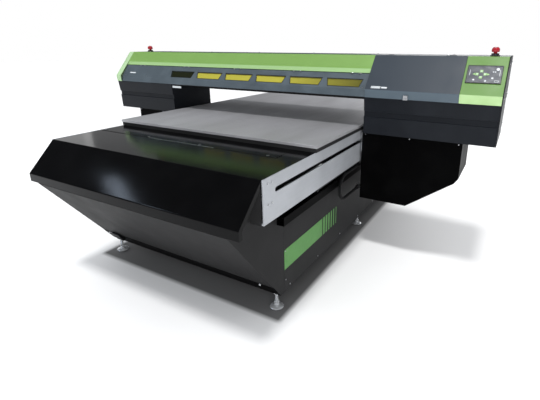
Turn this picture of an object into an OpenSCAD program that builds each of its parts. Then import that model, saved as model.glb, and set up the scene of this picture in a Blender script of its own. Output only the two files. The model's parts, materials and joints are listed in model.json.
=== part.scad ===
// Flatbed UV printer: a fixed bed on a steel base, with a moving gantry that carries the print carriage.
// Origin: on the floor, under the middle of the machine. +X runs along the gantry, +Y to the back.

/* [Base] */
// Overall depth of the machine, from the front lip to the rear panel
depth = 3340; // [3200:10:3400]
// Half of the base's width over its side panels
base_hw = 800; // [790:1:810]
// Sideways offset of the base from the middle of the gantry
base_x = -32; // [-40:1:40]
// Height of the base's underside above the floor
base_z = 115; // [90:1:120]
// Thickness of the folded sheet metal
sheet = 4; // [3:0.5:5]
// Side of the base frame's square tube
tube = 60; // [50:1:60]

/* [Front hood] */
// Height of the hood's flat top
hood_z = 974; // [970:1:980]
// Distance from the lip back to the hood's front fold
fold_run = 190; // [170:1:210]
// Height of the lip's upper fold
lip_top_z = 782; // [770:1:790]
// Height of the lip's lower edge
lip_z = 728; // [720:1:735]
// Distance from the lip back to the seam in the hood's top
seam_run = 549; // [500:1:600]
// Distance from the base's middle to the right edge of the hood's access plate
plate_x = 730; // [700:1:750]

/* [Bed] */
// Half of the bed's width
bed_hw = 892; // [880:1:895]
// Length of the bed
bed_len = 2500; // [2400:10:2520]
// Distance from the lip back to the bed's front edge
bed_run = 752; // [740:1:780]
// Height of the bed's top face
bed_z = 1019.5; // [1018:0.5:1025]
// Thickness of the bed's top plate
plate_t = 18; // [12:1:20]

/* [Rail beams] */
// Half of the width over the two rail beams
beam_hw = 886; // [884:1:888]
// Height of a rail beam
beam_h = 244.5; // [240:0.5:250]
// Height of the middle of the slot that the saddles run in
slot_z = 890.5; // [885:0.5:895]
// Width of that slot
slot_w = 27; // [25:1:30]

/* [Gantry] */
// Half of the gantry's overall width
gantry_hw = 1797; // [1780:1:1800]
// Y of the top front edge of the gantry's covers
top_y = -80; // [-90:1:-70]
// Height of the gantry's top
top_z = 1526; // [1520:1:1540]
// Y of the chin, the cover's foremost fold
chin_y = -280; // [-285:1:-275]
// Height of the chin
chin_z = 1297; // [1290:1:1305]
// Height of the covers' lower edge
skirt_z = 1241; // [1238:1:1245]
// Y of the gantry's back face
back_y = 330; // [320:1:350]
// X of the join between the green cover and the grey hood
hood_x0 = 910; // [905:1:920]
// X of the join between the grey hood and the panel housing
hood_x1 = 1543; // [1530:1:1550]

/* [Cabinets and legs] */
// Height of the cabinets' underside
cabinet_z = 975; // [970:1:980]
// X of the right cabinet's inner side
cabinet_rx = 905; // [900:1:915]
// X of the left cabinet's inner side
cabinet_lx = -1026; // [-1030:1:-1020]
// Half of the gap between the two legs
leg_x0 = 905; // [905:1:910]
// Distance from the base's middle to the right leg's outer face
leg_x1 = 1624; // [1590:1:1640]
// Height of a leg's lowest face
leg_z = 430; // [410:1:450]
// Y of a leg's front face
leg_y0 = -180; // [-190:1:-170]
// Y of a leg's back face
leg_y1 = 220; // [200:1:230]

/* [Carriage] */
// X of the carriage when it is parked
park_x = 1325; // [1320:1:1330]
// Height of the print heads' faces
head_z = 1122; // [1120:1:1125]
// Number of print heads
head_count = 7; // [4:1:8]

/* [Control panel] */
// Width of the control panel
panel_w = 204; // [190:1:210]
// Height of the control panel along the slope
panel_h = 134; // [120:1:140]
// X of the middle of the control panel
panel_x = 1664; // [1660:1:1668]
// Side of a square key
key_w = 18; // [14:1:20]
// Distance from the middle of the arrow cross to a key's middle
key_pitch = 24; // [22:1:28]

/* [Hidden] */
$fn = 48;

// Colours
black_gloss = [0.05, 0.05, 0.06];
black_satin = [0.13, 0.13, 0.14];
alloy = [0.74, 0.76, 0.78];
steel = [0.55, 0.57, 0.6];
green = [0.47, 0.72, 0.36];
green_pale = [0.62, 0.82, 0.48];
cover_grey = [0.34, 0.38, 0.43];
cabinet_grey = [0.16, 0.18, 0.2];
bed_grey = [0.6, 0.6, 0.6];
amber = [0.85, 0.72, 0.2, 0.7];
red = [0.72, 0.12, 0.14];

// Ends of the base
front_y = -depth / 2;
rear_y = depth / 2;
fold_y = front_y + fold_run;
seam_y = front_y + seam_run;
bed_y0 = front_y + bed_run;
bed_y1 = bed_y0 + bed_len;
kick_y = -1205;             // where the underpanel's slope would meet the base's underside
panel_foot_y = kick_y - 7;  // foot of the underpanel
cheek_y = -1165;            // upright seam between a cheek and its side panel
gap = 0.5;                  // joint gap between separate pieces
tube_x = base_hw - sheet - gap;
post_ys = [-1200, -260, 640, 1605];
bearer_ys = [-860, -260, 340, 940, 1505];
foot_x = 750;
foot_ys = [-1180, 200, 1560];
foot_r = 45;

// Rail beams and what runs in them
beam_z0 = hood_z - beam_h;
beam_y0 = fold_y;
beam_y1 = rear_y - 5;
beam_wall = 8;
beam_flange = 12;
slot_y0 = beam_y0 + 109;
slot_y1 = beam_y1 - 25;
bar_x = 834;                // outer face of the bar that carries a linear rail
rail_x = 850;               // outer face of a linear rail
rail_h = 24;
block_ys = [-90, 130];
block_len = 110;
screw_x = 838;
screw_z = 790;
screw_r = 14;
screw_y0 = -1390;
screw_y1 = 1610;
nut_y = 20;
motor_len = 74;

// Cable chain and its tray
tray_y0 = -1236;
tray_y1 = 1600;
tray_x = 850;
tray_z = 612;
tray_top_z = 668;
chain_y = -760;             // middle of the chain's bend
chain_end_y = 880;
chain_z = 660;
chain_r = 42;
chain_t = 24;

// Conduit between the chain and the right leg: its route is given as [y, z]
conduit_r = 12;
conduit_x = 868;
conduit_sides = 12;
conduit_route = [[-110, 688], [-170, 688], [-230, 688], [-290, 688], [-350, 688], [-400, 688], [-437, 681],
    [-468, 660], [-489, 629], [-496, 592], [-489, 555], [-468, 524], [-437, 503], [-400, 496], [-350, 496],
    [-290, 496], [-230, 496], [-180, 496], [-130, 496]];

// Gantry cover profile, as [y, z]
top_edge = [top_y, top_z];
chin = [chin_y, chin_z];
skirt = [chin_y + 6, skirt_z];
hinge_y = -20;              // rear edge of the front covers' flat top
facet_a = atan2(top_z - chin_z, top_y - chin_y);
band_fold = [-147, 1447];   // fold of the green band
band_foot = [-173, 1403];   // its lower edge
cover_top = [-176, 1398];
cover_chin = [-256, 1292];
cover_foot = [-266.7, 1242];
cover_a = atan2(cover_top[1] - cover_chin[1], cover_top[0] - cover_chin[0]);
trim_x = -1735;             // inner side of the left end trim
cap_x = 1792;               // inner side of the right end cap
beam_gx = 1600;             // half length of the gantry's box beam
beam_gy = [60, 240];
beam_gz = [1180, 1400];
pulley_x = 1650;
pulley_z = 1290;
pulley_r = 25;
belt_t = 2;
rail_zs = [1225, 1355];
neck = [1010, 1230];        // neck of a leg, from the base's middle
neck_y = [40, 220];
cabinet_back_y = 252;        // back of the cabinets, under the gantry's overhanging back

// Hinges of the front covers
hinge_r = 4;
pin_r = 2;
cover_hinge_xs = [-1500, -900, -300, 300, 800];
hood_hinge_xs = [1010, 1440];

// Windows in the front cover
window_n = 6;
window_pitch = 329;
window_x0 = -1063;
window_w = 286;
window_slant = 18;
window_s = [51, 113];       // distances down the cover's slope

// Carriage
head_block_hw = 130;
lamp_w = 20;
lift_travel = 100;
estop_y = 30;
estop_xs = [-1610, 1697];
cap_rod_xs = [park_x - 165, park_x + 165];
cap_rod_y = -110;
latch_x = 1205;
arrow_x = 1645;
arrow_s = 145;
power_x = 1738;

// ---- Helpers ----
module block(x, y, z) {
    translate([x[0], y[0], z[0]]) cube([x[1] - x[0], y[1] - y[0], z[1] - z[0]]);
}

// A profile drawn as [y, z] points, swept along X
module sweep_x(points, x) {
    translate([x[0], 0, 0]) rotate([90, 0, 90]) linear_extrude(x[1] - x[0]) polygon(points);
}

// A profile drawn as [x, z] points, swept along Y
module sweep_y(points, y) {
    translate([0, y[1], 0]) rotate([90, 0, 0]) linear_extrude(y[1] - y[0]) polygon(points);
}

module rod_x(r, x, y, z) {
    translate([x[0], y, z]) rotate([0, 90, 0]) cylinder(r = r, h = x[1] - x[0]);
}

module rod_y(r, x, y, z) {
    translate([x, y[1], z]) rotate([90, 0, 0]) cylinder(r = r, h = y[1] - y[0]);
}

module rod_z(r, x, y, z) {
    translate([x, y, z[0]]) cylinder(r = r, h = z[1] - z[0]);
}

// The base's own frame, and the same piece on both of its sides
module in_base() {
    translate([base_x, 0, 0]) children();
}

module both_sides() {
    in_base() {
        children();
        mirror([1, 0, 0]) children();
    }
}

// Unit normal to the left of segment i of path p
function left_of(p, i) = let (d = p[i + 1] - p[i]) [-d[1], d[0]] / norm(d);

// Point i of path p, moved to its left by t with mitred corners
function moved(p, i, t) =
    i == 0 ? p[0] + t * left_of(p, 0)
    : i == len(p) - 1 ? p[i] + t * left_of(p, i - 1)
    : let (a = left_of(p, i - 1), b = left_of(p, i)) p[i] + t * (a + b) / (1 + a * b);

// Outline of a sheet of thickness t that is folded along path p
function folded(p, t) = concat(p, [for (i = [len(p) - 1:-1:0]) moved(p, i, t)]);

// Arc of radius r that rounds the corner b between a and c, in n steps
function rounded(a, b, c, r, n = 5) =
    let (u = (a - b) / norm(a - b), v = (c - b) / norm(c - b), half = acos(u * v) / 2)
    let (m = b + (u + v) / norm(u + v) * r / sin(half))
    let (s = b + u * r / tan(half) - m, e = b + v * r / tan(half) - m)
    let (a0 = atan2(s[1], s[0]), d = atan2(e[1], e[0]) - a0)
    let (turn = d > 180 ? d - 360 : d < -180 ? d + 360 : d)
    [for (i = [0:n]) m + r * [cos(a0 + turn * i / n), sin(a0 + turn * i / n)]];

// Path p with its inner corners rounded to radius r
function eased(p, r) = concat([p[0]], [for (i = [1:len(p) - 2]) each rounded(p[i - 1], p[i], p[i + 1], r)],
    [p[len(p) - 1]]);

// Puts a piece on the slope of the gantry's covers, s down from its top edge, with +Z out of the face
module on_slope(x, s) {
    translate([x, top_y, top_z]) rotate([facet_a, 0, 0]) translate([0, -s, 0]) children();
}

module on_cover(x, s) {
    translate([x, cover_top[0], cover_top[1]]) rotate([cover_a, 0, 0]) translate([0, -s, 0]) children();
}

// Barrel of a hinge at x, on the part that swings, bored for the pin
module barrel(x, y, z) {
    rod_x(hinge_r, [x - 20, x + 20], y, z);
}

// What a hinge's other half needs clear: its two knuckles and the pin
module knuckle_room(x, y, z) {
    for (s = [-1, 1])
        translate([x + s * 31, y, z]) cube([21, 2 * hinge_r + 5, 2 * hinge_r + 5], center = true);
    rod_x(pin_r + 0.05, [x - 21, x + 21], y, z);
}

// Extent along X of the knuckle to the left (s = -1) or right (s = 1) of a hinge at x
function knuckle_span(x, s) = [x + s * 30.5 - 9.5, x + s * 30.5 + 9.5];

// Two knuckles with the pin between them
module knuckles(x, y, z) {
    rod_x(pin_r, [x - 21.5, x + 21.5], y, z);
    for (s = [-1, 1])
        rod_x(hinge_r, knuckle_span(x, s), y, z);
}

// ---- Base ----
module base_frame() color(black_satin) {
    both_sides() {
        block([tube_x - tube, tube_x], [post_ys[0], rear_y - 5], [base_z, base_z + tube]);
        block([tube_x - tube, tube_x], [fold_y + 5, rear_y - 5], [hood_z - 5 - tube, hood_z - 5]);
        for (y = post_ys)
            block([tube_x - tube, tube_x], [y, y + tube], [base_z + tube + gap, hood_z - 5 - tube - gap]);
        block([base_hw - sheet, bar_x], [slot_y0 - 70, slot_y1 + 10], [slot_z - 40, slot_z + 40]);
    }
    in_base() {
        for (y = post_ys)
            block([-tube_x + tube + gap, tube_x - tube - gap], [y, y + tube], [base_z, base_z + tube]);
        for (y = bearer_ys)
            block([-tube_x + tube + gap, tube_x - tube - gap], [y, y + tube], [hood_z - tube, hood_z]);
    }
}

hood_path = [[seam_y - gap, hood_z], [fold_y, hood_z], [front_y, lip_top_z], [front_y, lip_z]];

module front_hood() color(black_gloss) in_base() {
    sweep_x(folded(eased(hood_path, 14), sheet), [-beam_hw + 9, beam_hw - 9]);
    for (x = [-beam_hw + 9, beam_hw - 9 - sheet])
        sweep_x(folded([[fold_y - 6, hood_z - 8], [front_y + 4, lip_top_z - 2], [front_y + 4, lip_z]], 22),
            [x, x + sheet]);
    block([plate_x + gap, beam_hw - 9], [seam_y - 1, bed_y0 + 38], [hood_z - sheet, hood_z]);
}

// Access plate in front of the bed, and the sheet behind it
module hood_top() color(black_gloss) in_base() {
    block([-beam_hw + 9, plate_x - gap], [seam_y + gap, bed_y0 + 38], [hood_z - sheet, hood_z]);
    block([-beam_hw + 9, beam_hw - 9], [bed_y1 + gap, rear_y], [hood_z - sheet, hood_z]);
}

// Height of the underpanel's outer face at y
function slope_z(y) = lip_z + (y - front_y) * (base_z - lip_z) / (kick_y - front_y);

module underpanel() color(black_satin) in_base()
    sweep_x(folded([[front_y + 5, slope_z(front_y + 5)], [panel_foot_y, slope_z(panel_foot_y)],
        [post_ys[0] - gap, slope_z(panel_foot_y)]], sheet), [-base_hw + sheet + gap, base_hw - sheet - gap]);

// Side sheets under the hood, each with a flange that closes the end of its rail beam
module cheeks() color(black_satin) both_sides() {
    block([base_hw - sheet, beam_hw - 13.5], [fold_y - 5, fold_y - 1], [beam_z0 - gap, 962]);
    sweep_x([[fold_y - 1, hood_z - 8.5], [front_y + 4.5, lip_top_z - 2.5],
        [front_y + 4.5, slope_z(front_y + 4.5)], [kick_y, base_z], [cheek_y - 1, base_z],
        [cheek_y - 1, beam_z0 - gap], [fold_y - 1, beam_z0 - gap]],
        [base_hw - sheet, base_hw]);
}

module side_panels() color(black_satin) both_sides()
    block([base_hw - sheet, base_hw], [cheek_y + 1, rear_y - sheet - gap], [base_z, beam_z0 - gap]);

module rear_panel() color(black_satin) in_base() difference() {
    block([-base_hw, base_hw], [rear_y - sheet, rear_y], [base_z, hood_z - sheet - gap]);
    for (x = [-620, 280], i = [0:7])
        block([x, x + 340], [rear_y - sheet - 1, rear_y + 1], [260 + i * 30, 274 + i * 30]);
}

// A plain block and a run of narrowing bars
module side_stripes() color(green) both_sides() {
    block([base_hw, base_hw + 1], [cheek_y + 5, -640], [272, 408]);
    for (i = [0:5])
        block([base_hw, base_hw + 1], [-626 + i * 44, -596 + i * 44 - i * 4], [272, 408]);
}

module rail_beams() color(alloy) both_sides() difference() {
    sweep_y([[base_hw - sheet, beam_z0], [beam_hw, beam_z0], [beam_hw, hood_z], [beam_hw - beam_wall, hood_z],
        [beam_hw - beam_wall, hood_z - sheet - gap], [base_hw - sheet, hood_z - sheet - gap],
        [base_hw - sheet, hood_z - sheet - beam_flange], [beam_hw - beam_wall, hood_z - sheet - beam_flange],
        [beam_hw - beam_wall, beam_z0 + beam_flange], [base_hw - sheet, beam_z0 + beam_flange]],
        [beam_y0, beam_y1]);
    block([beam_hw - beam_wall - 1, beam_hw + 1], [slot_y0 + slot_w / 2, slot_y1 - slot_w / 2],
        [slot_z - slot_w / 2, slot_z + slot_w / 2]);
    for (y = [slot_y0 + slot_w / 2, slot_y1 - slot_w / 2])
        rod_x(slot_w / 2, [beam_hw - beam_wall - 1, beam_hw + 1], y, slot_z);
    block([base_hw - sheet - 1, beam_hw - beam_wall], [beam_y0 - 1, beam_y0 + 12], [hood_z - 20, hood_z]);
}

module rail_beam_bolts() color(steel) both_sides()
    for (y = [beam_y0 + 43, beam_y0 + 78, beam_y1 - 78, beam_y1 - 43], z = [830, 943])
        rod_x(6.5, [beam_hw, beam_hw + 4], y, z);

module linear_rails() color(steel) both_sides()
    block([bar_x, rail_x], [slot_y0 - 60, slot_y1], [slot_z - rail_h / 2, slot_z + rail_h / 2]);

module table_plate() color(bed_grey) in_base()
    block([-bed_hw, bed_hw], [bed_y0, bed_y1], [bed_z - plate_t, bed_z]);

// Vacuum chambers under the bed's plate, split by ribs
module vacuum_plenum() color(steel) in_base() difference() {
    block([-bed_hw + 4, bed_hw - 4], [bed_y0 + 4, bed_y1 - 4], [hood_z, bed_z - plate_t]);
    for (i = [0:1], j = [0:3])
        translate([-bed_hw + 40 + i * 852, bed_y0 + 40 + j * 610, hood_z + 6]) cube([812, 570, 40]);
    for (s = [-1, 1])
        rod_z(40, s * 300, 670, [hood_z - 1, hood_z + 10]);
}

module vacuum_blowers() color(steel) in_base() for (s = [-1, 1]) translate([s * 300, 670, 0]) {
    block([-170, 170], [-130, 130], [base_z + tube + gap, base_z + tube + 12]);
    rod_z(140, 0, 0, [base_z + tube + 12, 400]);
    rod_z(85, 0, 0, [400, 620]);
    rod_z(40, 0, 0, [620, hood_z]);
}

module levelling_feet() color(alloy) in_base() for (s = [-1, 1], y = foot_ys) translate([s * foot_x, y, 0]) {
    rotate_extrude() polygon([[0, 0], [foot_r, 0], [foot_r, 8], [foot_r - 12, 18], [18, 24], [0, 24]]);
    rod_z(11, 0, 0, [20, base_z - gap]);
    translate([0, 0, base_z - 14 - gap]) cylinder(r = 19, h = 14, $fn = 6);
}

module chain_tray() color(black_gloss) in_base()
    sweep_y([[base_hw + gap, tray_z], [tray_x, tray_z], [tray_x, tray_top_z], [tray_x - sheet, tray_top_z],
        [tray_x - sheet, tray_z + sheet], [base_hw + sheet, tray_z + sheet], [base_hw + sheet, tray_top_z],
        [base_hw + gap, tray_top_z]], [tray_y0, tray_y1]);

// U of chain links that lies in the tray: its bend follows the gantry at half its speed
module chain_band(r, x) {
    rod_x(r, x, chain_y, chain_z);
    block(x, [chain_y, chain_end_y], [chain_z - r, chain_z + r]);
}

module cable_chain() color(black_satin) in_base() difference() {
    chain_band(chain_r, [812, 838]);
    translate([0, 1, 0]) chain_band(chain_r - chain_t, [811, 839]);
}

module drive_motors() color(cabinet_grey) both_sides() {
    difference() {
        block([screw_x - 28, screw_x + 28], [screw_y0 - 10, screw_y0 + 20], [screw_z - 28, screw_z + 28]);
        rod_y(screw_r + 0.1, screw_x, [screw_y0 - gap, screw_y0 + 21], screw_z);
    }
    difference() {
        block([screw_x - 28, screw_x + 28], [screw_y1 - 20, screw_y1 + 10], [screw_z - 28, screw_z + 28]);
        rod_y(screw_r + 0.1, screw_x, [screw_y1 - 21, screw_y1 + gap], screw_z);
    }
    block([screw_x - 30, screw_x + 30], [screw_y0 - 11 - motor_len, screw_y0 - 11],
        [screw_z - 30, screw_z + 30]);
}

module drive_screw() rod_y(screw_r, screw_x, [screw_y0, screw_y1], screw_z);

module drive_screw_right() color(steel) in_base() drive_screw();

module drive_screw_left() color(steel) in_base() mirror([1, 0, 0]) drive_screw();

// ---- Gantry ----
// Outlines of a leg, outside and inside, x1 being its outer face
function leg_outline(x1) = [[leg_x0, leg_z], [x1 - 352, leg_z], [x1 - 26, leg_z + 236],
    [x1, leg_z + 275], [x1, cabinet_z - gap], [leg_x0, cabinet_z - gap]];
function leg_inside(x1) = [[leg_x0 + sheet, leg_z + sheet], [x1 - 353, leg_z + sheet],
    [x1 - 29, leg_z + 239], [x1 - sheet, leg_z + 276],
    [x1 - sheet, cabinet_z - gap - sheet], [leg_x0 + sheet, cabinet_z - gap - sheet]];

module leg(x1) difference() {
    sweep_y(leg_outline(x1), [leg_y0, leg_y1]);
    sweep_y(leg_inside(x1), [leg_y0 + sheet, leg_y1 - sheet]);
}

module legs() color(black_gloss) in_base() {
    leg(leg_x1);
    mirror([1, 0, 0]) leg(leg_x1 + base_x);
}

// Tubes that carry the gantry's beam on the legs, through the cabinets' floors
module leg_necks() color(black_satin) both_sides() difference() {
    block(neck, neck_y, [cabinet_z - gap, beam_gz[0] - gap]);
    block(neck + [8, -8], neck_y + [8, -8], [cabinet_z + 7, beam_gz[0] - 8]);
}

// Plate on a leg's inner face, with the tongue that reaches through the slot
module saddle_plates() color(steel) both_sides() {
    block([leg_x0 - 11.5, leg_x0], [leg_y0 + 10, leg_y1 - 10], [810, 960]);
    block([rail_x + 18, leg_x0 - 11], [leg_y0 + 20, leg_y1 - 20], [slot_z - 10.5, slot_z + 10.5]);
}

module guide_blocks() color(steel) both_sides() for (y = block_ys) difference() {
    block([bar_x + 4, rail_x + 18], [y - block_len / 2, y + block_len / 2], [slot_z - 30, slot_z + 30]);
    block([bar_x, rail_x + gap], [y - block_len, y + block_len],
        [slot_z - rail_h / 2 - gap, slot_z + rail_h / 2 + gap]);
}

module screw_nuts() color(steel) both_sides() {
    difference() {
        block([screw_x - 23, screw_x + 23], [nut_y - 35, nut_y + 35], [screw_z - 23, screw_z + 23]);
        rod_y(screw_r + 0.1, screw_x, [nut_y - 36, nut_y + 36], screw_z);
    }
    block([screw_x + 23, screw_x + 37], [nut_y - 35, nut_y + 35], [screw_z - 15, slot_z - 10.5]);
}

// Brackets on the right leg: one reaches over the tray to the chain and holds the conduit's upper end,
// the other takes its lower end into the leg
module leg_brackets() color(steel) in_base() {
    block([842, leg_x0], [-150, -90], [716, 727]);
    block([conduit_x - 15, conduit_x + 15], [-110, -90], [674, 716]);
    block([817, 833], [-130, -110], [chain_z + chain_r, 716]);
    block([conduit_x - 15, leg_x0], [-130, -96], [480, 512]);
}

// Heading of the conduit's route at point i, in the plane of Y and Z
function route_heading(i) =
    let (a = conduit_route[max(i - 1, 0)], b = conduit_route[min(i + 1, len(conduit_route) - 1)])
    atan2(b[1] - a[1], b[0] - a[0]);

function conduit_ring(i) = let (a = route_heading(i), n = conduit_sides) [for (k = [0:n - 1])
    let (across = conduit_r * cos(k * 360 / n), up = conduit_r * sin(k * 360 / n))
    [conduit_x + across, conduit_route[i][0] - up * sin(a), conduit_route[i][1] + up * cos(a)]];

module conduit_loop() color(black_satin) in_base() let (n = conduit_sides, last = len(conduit_route) - 1)
    polyhedron(points = [for (i = [0:last]) each conduit_ring(i)],
        faces = concat([[for (k = [0:n - 1]) k]], [[for (k = [n - 1:-1:0]) last * n + k]],
            [for (i = [0:last - 1], k = [0:n - 1])
                [i * n + k, (i + 1) * n + k, (i + 1) * n + (k + 1) % n, i * n + (k + 1) % n]]));

module gantry_beam() color(cabinet_grey) {
    difference() {
        block([-beam_gx, beam_gx], beam_gy, beam_gz);
        block([-beam_gx - 1, beam_gx + 1], beam_gy + [8, -8], beam_gz + [8, -8]);
    }
    block([-beam_gx - 80, -beam_gx], [beam_gy[0] + 4, beam_gy[0] + 16], [pulley_z - 40, pulley_z + 40]);
    rod_y(8, -pulley_x, [beam_gy[0] - 16, beam_gy[0] + 4], pulley_z);
}

module x_rails() color(steel) for (z = rail_zs)
    block([-beam_gx + 10, beam_gx - 10], [beam_gy[0] - 14, beam_gy[0]], [z - 10, z + 10]);

module belt_loop(r, y) {
    for (s = [-1, 1])
        rod_y(r, s * pulley_x, y, pulley_z);
    block([-pulley_x, pulley_x], y, [pulley_z - r, pulley_z + r]);
}

module x_belt() color(black_satin) difference() {
    belt_loop(pulley_r + 0.3 + belt_t, [beam_gy[0] - 13, beam_gy[0] - 3]);
    belt_loop(pulley_r + 0.3, [beam_gy[0] - 14, beam_gy[0] - 2]);
}

module x_motor() color(cabinet_grey) {
    block([pulley_x - 40, pulley_x + 40], [beam_gy[0] + 2, beam_gy[0] + 120], [pulley_z - 40, pulley_z + 40]);
    rod_y(8, pulley_x, [beam_gy[0] - 16, beam_gy[0] + 2], pulley_z);
}

module belt_pulley(x) difference() {
    union() {
        rod_y(pulley_r, x, [beam_gy[0] - 15, beam_gy[0]], pulley_z);
        rod_y(pulley_r + 4, x, [beam_gy[0] - 15, beam_gy[0] - 13.5], pulley_z);
        rod_y(pulley_r + 4, x, [beam_gy[0] - 2.5, beam_gy[0]], pulley_z);
    }
    rod_y(8.1, x, [beam_gy[0] - 20, beam_gy[0] + 1], pulley_z);
}

module belt_pulley_left() color(alloy) belt_pulley(-pulley_x);

module belt_pulley_right() color(alloy) belt_pulley(pulley_x);

module top_cover() color(green)
    sweep_x(folded(eased([[hinge_y, top_z], top_edge, band_fold, band_foot], 4), sheet),
        [trim_x + 1, hood_x0 - 1]);

// Leaves on the green band's inner face and on the flat top, which carry the covers' knuckles
module cover_hinges() color(steel) {
    for (x = cover_hinge_xs) {
        knuckles(x, cover_top[0], cover_top[1]);
        for (s = [-1, 1]) {
            block(knuckle_span(x, s), [-174, -166.5], [1397, 1400.5]);
            sweep_x(folded([[-156.6, 1422.4], [-169.3, 1400.8]], 2.5), knuckle_span(x, s));
        }
    }
    for (x = hood_hinge_xs) {
        knuckles(x, hinge_y, top_z);
        for (s = [-1, 1])
            block(knuckle_span(x, s), [hinge_y, 12], [top_z + 0.1, top_z + 2.5]);
    }
}

// Flat top and back, from end to end
module rear_cover() color(cabinet_grey) difference() {
    sweep_x(folded(eased([[back_y, skirt_z + gap], [back_y, top_z], [hinge_y + 1.5, top_z]], 10), sheet),
        [trim_x + 1, cap_x - 1]);
    for (x = [-1500, -900, 500, 1100], i = [0:5])
        block([x, x + 400], [back_y - sheet - 1, back_y + 1], [1320 + i * 24, 1332 + i * 24]);
    for (x = hood_hinge_xs)
        block([x - 42, x + 42], [hinge_y - 1, hinge_y + 5], [top_z - 6, top_z + 1]);
}

end_outline = [top_edge, chin, skirt, [back_y, skirt_z], [back_y, top_z]];

module left_end_trim() color(green_pale) difference() {
    sweep_x(end_outline, [-gantry_hw, trim_x]);
    sweep_x([top_edge + [3, -6], chin + [7, 2], [chin_y + 10, skirt_z + 6], [back_y - 5, skirt_z + 6],
        [back_y - 5, top_z - 6]], [-gantry_hw + 5, trim_x + 1]);
}

module right_end_cap() color(cabinet_grey)
    sweep_x([top_edge, chin, skirt, [-255, 1141], [-252, cabinet_z], [cabinet_back_y, cabinet_z],
        [cabinet_back_y, skirt_z - 12], [back_y, skirt_z - 12], [back_y, top_z]], [cap_x, gantry_hw]);

cover_path = [[hinge_y, top_z], top_edge, chin, skirt];

module panel_housing() color(green_pale) difference() {
    sweep_x(folded(eased(cover_path, 6), sheet), [hood_x1 + 1, cap_x - 1]);
    on_slope(panel_x, arrow_s) translate([-panel_w / 2 + 10, -panel_h / 2 + 10, -10])
        cube([panel_w - 20, panel_h - 20, 20]);
}

// Places a key's middle on the control panel
module at_key(x, up) {
    on_slope(x, arrow_s) translate([0, up, 0]) children();
}

key_spots = [[arrow_x, key_pitch], [arrow_x, -key_pitch], [arrow_x - key_pitch, 0], [arrow_x + key_pitch, 0]];

module control_panel() color(cover_grey) difference() {
    on_slope(panel_x, arrow_s) translate([-panel_w / 2, -panel_h / 2, 0.1]) cube([panel_w, panel_h, 5]);
    for (k = key_spots)
        at_key(k[0], k[1]) cube([key_w + 0.8, key_w + 0.8, 20], center = true);
    at_key(power_x, 40) cylinder(r = 10.4, h = 20, center = true);
}

module key_cap(i) color(green_pale) at_key(key_spots[i][0], key_spots[i][1])
    translate([-key_w / 2, -key_w / 2, -2]) cube([key_w, key_w, 9]);

module key_up() key_cap(0);
module key_down() key_cap(1);
module key_left() key_cap(2);
module key_right() key_cap(3);
module key_power() color("white") at_key(power_x, 40) translate([0, 0, -2]) cylinder(r = 10, h = 9);

cabinet_path = [[-269.6, skirt_z - 1.5], [-259, 1142], [-250, 1140], [-250, 1102], [-257, 1099],
    [-252, cabinet_z], [cabinet_back_y, cabinet_z], [cabinet_back_y, skirt_z - 12], [back_y, skirt_z - 12],
    [back_y, skirt_z - 1.5]];

// Open-topped box of folded sheet with a plate at each end, the inner one cut out round the beam
module cabinet(x, inner) difference() {
    union() {
        sweep_x(folded(cabinet_path, sheet), x);
        for (e = [x[0], x[1] - sheet])
            sweep_x(cabinet_path, [e, e + sheet]);
    }
    block([inner - 5, inner + 5], beam_gy + [-18, 4], [beam_gz[0] - 4, skirt_z + 1]);
    children();
}

module neck_hole() block(neck + [-3, 3], neck_y + [-3, 3], [cabinet_z - 1, cabinet_z + 10]);

module cabinet_left() color(cabinet_grey) cabinet([-gantry_hw + 2, cabinet_lx], cabinet_lx)
    in_base() mirror([1, 0, 0]) neck_hole();

module cabinet_right() color(cabinet_grey) {
    cabinet([cabinet_rx, cap_x - 1], cabinet_rx) {
        in_base() neck_hole();
        block([cabinet_rx - 1, cabinet_rx + 10], [-225, beam_gy[0]], [head_z - 12, skirt_z + 1]);
    }
    for (x = cap_rod_xs)
        rod_z(6, x, cap_rod_y, [cabinet_z + sheet, head_z - 8]);
}

module estop_bases() color(cabinet_grey) for (x = estop_xs) difference() {
    union() {
        rod_z(30, x, estop_y, [top_z, top_z + 6]);
        rod_z(24, x, estop_y, [top_z + 5, top_z + 18]);
    }
    rod_z(12.4, x, estop_y, [top_z + 4, top_z + 20]);
}

module estop(x) color(red) translate([x, estop_y, top_z]) rotate_extrude()
    polygon([[0, 12], [12, 12], [12, 26], [21, 26], [25, 31], [25, 41], [22, 50], [16, 56], [8, 59],
        [0, 60]]);

module estop_left() estop(estop_xs[0]);
module estop_right() estop(estop_xs[1]);

// Tray of caps that rises to seal the parked heads
module cap_tray() color(steel) difference() {
    union() {
        block([park_x - 135, park_x + 135], [-200, -20], [cabinet_z + sheet + gap, head_z - lift_travel - 7]);
        block([park_x - 180, park_x + 180], [cap_rod_y - 15, cap_rod_y + 15],
            [cabinet_z + sheet + gap, cabinet_z + sheet + 12]);
    }
    for (x = cap_rod_xs)
        rod_z(6.1, x, cap_rod_y, [cabinet_z, cabinet_z + 40]);
    for (i = [0:head_count - 1])
        translate([park_x + (i - (head_count - 1) / 2) * 34 - 12, -180, head_z - lift_travel - 19])
            cube([24, 140, 20]);
}

module ink_cartridges() color(cabinet_grey) for (i = [0:5])
    translate([1205 + i * 55, cabinet_back_y - 212, cabinet_z + sheet]) cube([45, 200, 110]);

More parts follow.
